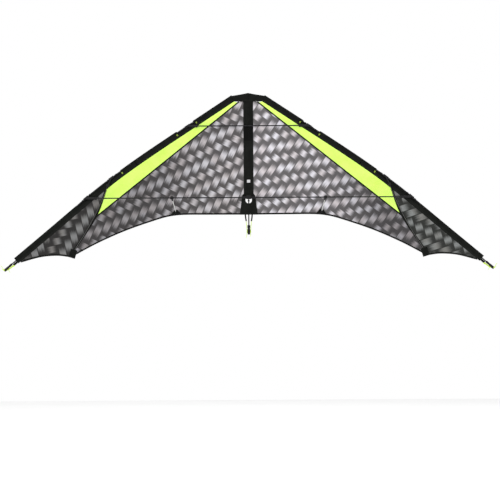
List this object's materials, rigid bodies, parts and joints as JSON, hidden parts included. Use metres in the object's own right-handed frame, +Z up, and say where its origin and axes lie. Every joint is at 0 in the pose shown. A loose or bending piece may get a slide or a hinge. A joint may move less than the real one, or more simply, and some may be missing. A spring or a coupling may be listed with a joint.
{
  "type": "delta sport kite",
  "caption": "Steerable delta sport kite, nose up: tube frame with spreaders and standoffs, printed and neon sail panels, and wings that fold back about the spine.",
  "frame": {"origin": "middle of the centre fitting, where the lower spreaders meet the spine", "axes": "+X along the span, +Z up the spine towards the nose, -Y towards the flyer"},
  "size_m": [2.3992, 0.1442, 0.866],
  "materials": {
    "carbon": "glossy wrapped carbon tube",
    "fibreglass": "smooth pultruded glass fibre",
    "fitting": "satin moulded polymer",
    "dacron": "dense woven polyester tape, slight sheen",
    "print": "ripstop sailcloth with a printed grey basket weave",
    "neon": "fluorescent yellow-green ripstop sailcloth",
    "line": "fluorescent braided line"
  },
  "bodies": {
    "spine": {"spine_rod": "carbon", "spine_top_cap": "fitting", "tail_nock": "fitting", "spine_sleeve": "dacron", "centre_t": "fitting", "tail_webbing": "dacron", "tail_tension_line": "line"},
    "left_wing": {"left_leading_edge_rod_upper": "carbon", "left_leading_edge_rod_lower": "carbon", "left_ferrule": "fibreglass", "left_lower_spreader": "carbon", "left_tip_nock": "fitting", "left_upper_connector": "fitting", "left_lower_connector": "fitting", "left_batten_connector": "fitting", "left_batten": "fibreglass", "left_standoff_seat": "fitting", "left_inner_panel": "print", "left_neon_panel": "neon", "left_tip_panel": "print", "left_trailing_edge_hem": "dacron", "left_leading_edge_sleeve_inner": "dacron", "left_leading_edge_sleeve_outer": "dacron", "left_spine_strip": "dacron", "left_nose_patch": "dacron", "left_tail_patch": "dacron", "left_standoff_patch": "dacron", "left_corner_patch": "dacron", "left_tip_tab": "dacron", "left_tip_tension_line": "line", "upper_spreader": "carbon"},
    "right_wing": {"right_leading_edge_rod_upper": "carbon", "right_leading_edge_rod_lower": "carbon", "right_ferrule": "fibreglass", "right_lower_spreader": "carbon", "right_tip_nock": "fitting", "right_upper_connector": "fitting", "right_lower_connector": "fitting", "right_batten_connector": "fitting", "right_batten": "fibreglass", "right_standoff_seat": "fitting", "right_inner_panel": "print", "right_neon_panel": "neon", "right_tip_panel": "print", "right_trailing_edge_hem": "dacron", "right_leading_edge_sleeve_inner": "dacron", "right_leading_edge_sleeve_outer": "dacron", "right_spine_strip": "dacron", "right_nose_patch": "dacron", "right_tail_patch": "dacron", "right_standoff_patch": "dacron", "right_corner_patch": "dacron", "right_tip_tab": "dacron", "right_tip_tension_line": "line"},
    "left_standoff": {"left_standoff_clip": "fitting", "left_standoff_rod": "fibreglass", "left_standoff_cap": "fitting"},
    "right_standoff": {"right_standoff_clip": "fitting", "right_standoff_rod": "fibreglass", "right_standoff_cap": "fitting"}
  },
  "joints": [
    {"name": "left_wing_fold", "type": "hinge", "parent": "spine", "child": "left_wing", "pos_m": [0, 0.006, 0], "axis": [0, 0, -1], "range_deg": [0, 65]},
    {"name": "right_wing_fold", "type": "hinge", "parent": "spine", "child": "right_wing", "pos_m": [0, 0.006, 0], "axis": [0, 0, 1], "range_deg": [0, 65]},
    {"name": "left_standoff_swing", "type": "hinge", "parent": "left_wing", "child": "left_standoff", "pos_m": [-0.376, -0.009, 0], "axis": [1, 0, 0], "range_deg": [-150, 0]},
    {"name": "right_standoff_swing", "type": "hinge", "parent": "right_wing", "child": "right_standoff", "pos_m": [0.376, -0.009, 0], "axis": [1, 0, 0], "range_deg": [-150, 0]}
  ]
}
